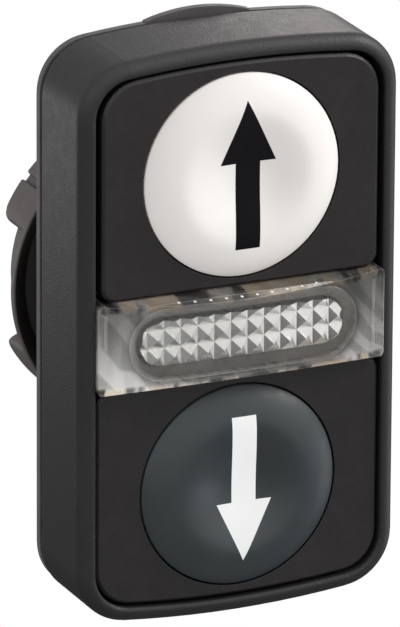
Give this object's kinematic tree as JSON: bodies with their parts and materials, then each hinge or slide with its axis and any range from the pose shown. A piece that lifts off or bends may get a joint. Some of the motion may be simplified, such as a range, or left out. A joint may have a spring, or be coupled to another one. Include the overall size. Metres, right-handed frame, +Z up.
{
  "type": "double push button",
  "caption": "Panel-mounted double push button: up and down arrow caps in one bowed bezel, a clear pilot light bar between them, a threaded barrel and a lobed fixing nut.",
  "frame": {"origin": "centre of the mounting hole on the panel's front face, where the gasket rests", "axes": "+X to the right and +Z up as seen from the front, +Y into the panel along the barrel"},
  "size_m": [0.03, 0.0291, 0.0526],
  "materials": {
    "bezel_plastic": "fine satin texture",
    "faceplate_plastic": "satin",
    "white_plastic": "semi-gloss",
    "slate_plastic": "semi-gloss",
    "arrow_black": "satin",
    "arrow_white": "satin",
    "carrier_plastic": "moulded",
    "spring_steel": "drawn wire",
    "seal_rubber": "moulded",
    "clip_steel": "stamped",
    "lens_clear": "polished clear plastic",
    "light_guide_clear": "polished clear plastic with prisms",
    "baffle_grey": "moulded",
    "base_plastic": "moulded",
    "gasket_rubber": "moulded",
    "nut_plastic": "moulded"
  },
  "bodies": {
    "head": {"bezel": "bezel_plastic", "upper_faceplate": "faceplate_plastic", "lower_faceplate": "faceplate_plastic", "upper_return_spring": "spring_steel", "lower_return_spring": "spring_steel", "upper_rod_seal": "seal_rubber", "lower_rod_seal": "seal_rubber", "lens_seal": "seal_rubber", "lens": "lens_clear", "light_guide": "light_guide_clear", "light_baffle": "baffle_grey", "base_plate": "base_plastic", "barrel": "base_plastic", "guide_disc": "base_plastic", "panel_gasket": "gasket_rubber"},
    "upper_button": {"upper_button_cap": "white_plastic", "upper_arrow": "arrow_black", "upper_carrier": "carrier_plastic", "upper_rod_clip": "clip_steel"},
    "lower_button": {"lower_button_cap": "slate_plastic", "lower_arrow": "arrow_white", "lower_carrier": "carrier_plastic", "lower_rod_clip": "clip_steel"},
    "nut": {"fixing_nut": "nut_plastic"}
  },
  "joints": [
    {"name": "upper_press", "type": "slide", "parent": "head", "child": "upper_button", "axis": [0, 1, 0], "range_m": [0, 0.0043], "stiffness_N_per_m": 535, "springref_m": -0.0028, "deforming": ["upper_return_spring"]},
    {"name": "lower_press", "type": "slide", "parent": "head", "child": "lower_button", "axis": [0, 1, 0], "range_m": [0, 0.0043], "stiffness_N_per_m": 535, "springref_m": -0.0028, "deforming": ["lower_return_spring"]},
    {"name": "nut_turn", "type": "hinge", "parent": "head", "child": "nut", "pos_m": [0, 0.0096, 0], "axis": [0, 1, 0], "continuous": true}
  ]
}
